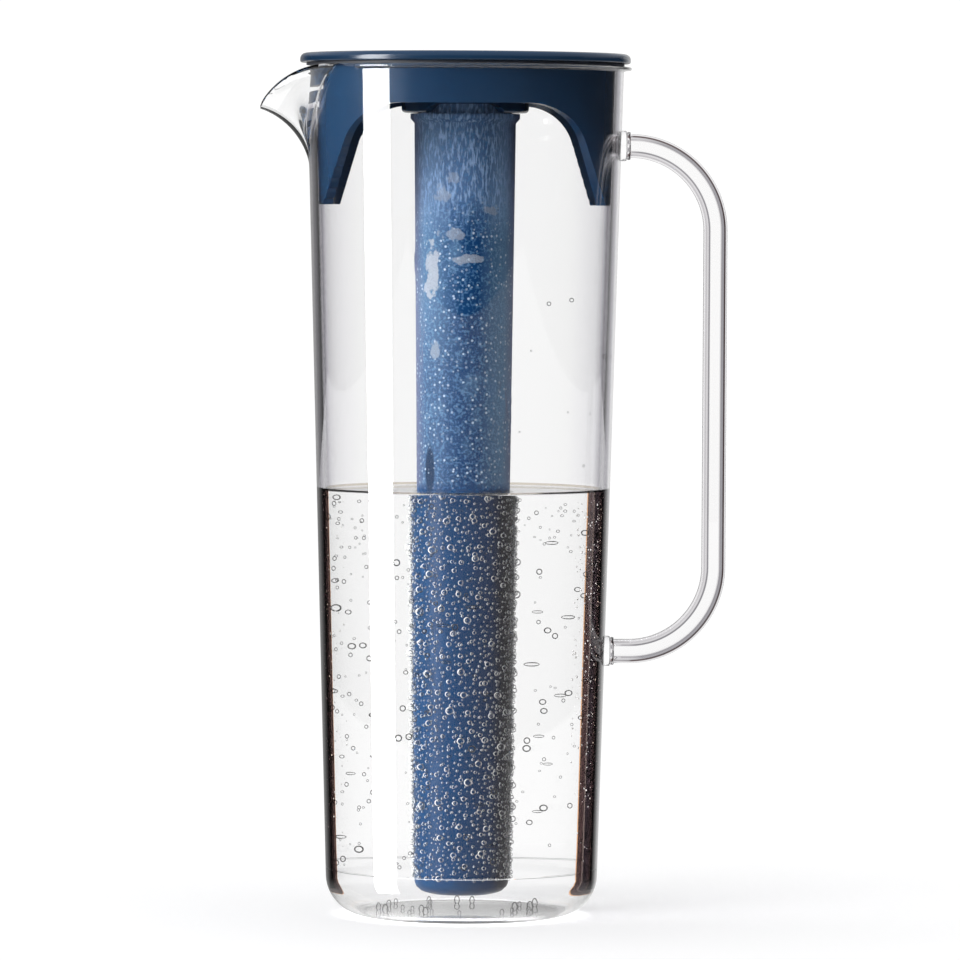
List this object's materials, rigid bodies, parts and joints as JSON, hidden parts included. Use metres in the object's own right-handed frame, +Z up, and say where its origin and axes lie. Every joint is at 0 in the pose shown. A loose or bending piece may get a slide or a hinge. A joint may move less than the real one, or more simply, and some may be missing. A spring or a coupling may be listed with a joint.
{
  "type": "pitcher with ice core",
  "caption": "Clear plastic pitcher with a side handle, a turning lid with a strainer, and a screw-in ice core that hangs in the drink.",
  "frame": {"origin": "centre of the resting face of the base, on the axis of the jug", "axes": "+Z up along the axis, -X towards the spout, +X towards the handle"},
  "size_m": [0.1631, 0.116, 0.3006],
  "materials": {
    "clear_shell": "clear polished acrylic",
    "clear_handle": "clear polished acrylic",
    "silicone": "soft matt silicone",
    "lid_plastic": "navy, glossy moulded plastic",
    "core_plastic": "blue moulded plastic, frosted when cold",
    "ice": "cloudy ice"
  },
  "bodies": {
    "jug": {"jug_body": "clear_shell", "handle": "clear_handle"},
    "lid_seal": {"lid_seal": "silicone"},
    "lid": {"lid": "lid_plastic"},
    "core_seal": {"core_seal": "silicone"},
    "core": {"core_tube": "core_plastic", "ice_charge": "ice"}
  },
  "joints": [
    {"name": "lid_lift", "type": "slide", "parent": "jug", "child": "lid_seal", "axis": [0, 0, 1], "range_m": [0, 0.315]},
    {"name": "lid_turn", "type": "hinge", "parent": "lid_seal", "child": "lid", "pos_m": [0, 0, 0.2964], "axis": [0, 0, 1], "continuous": true},
    {"name": "core_turn", "type": "hinge", "parent": "lid", "child": "core_seal", "pos_m": [0, 0, 0.28], "axis": [0, 0, -1], "range_deg": [0, 540]},
    {"name": "core_drop", "type": "slide", "parent": "core_seal", "child": "core", "axis": [0, 0, -1], "range_m": [0, 0.004]}
  ],
  "couplings": [
    {"joint": "core_drop", "follows": "core_turn", "m_per_rad": 0.0004138}
  ]
}
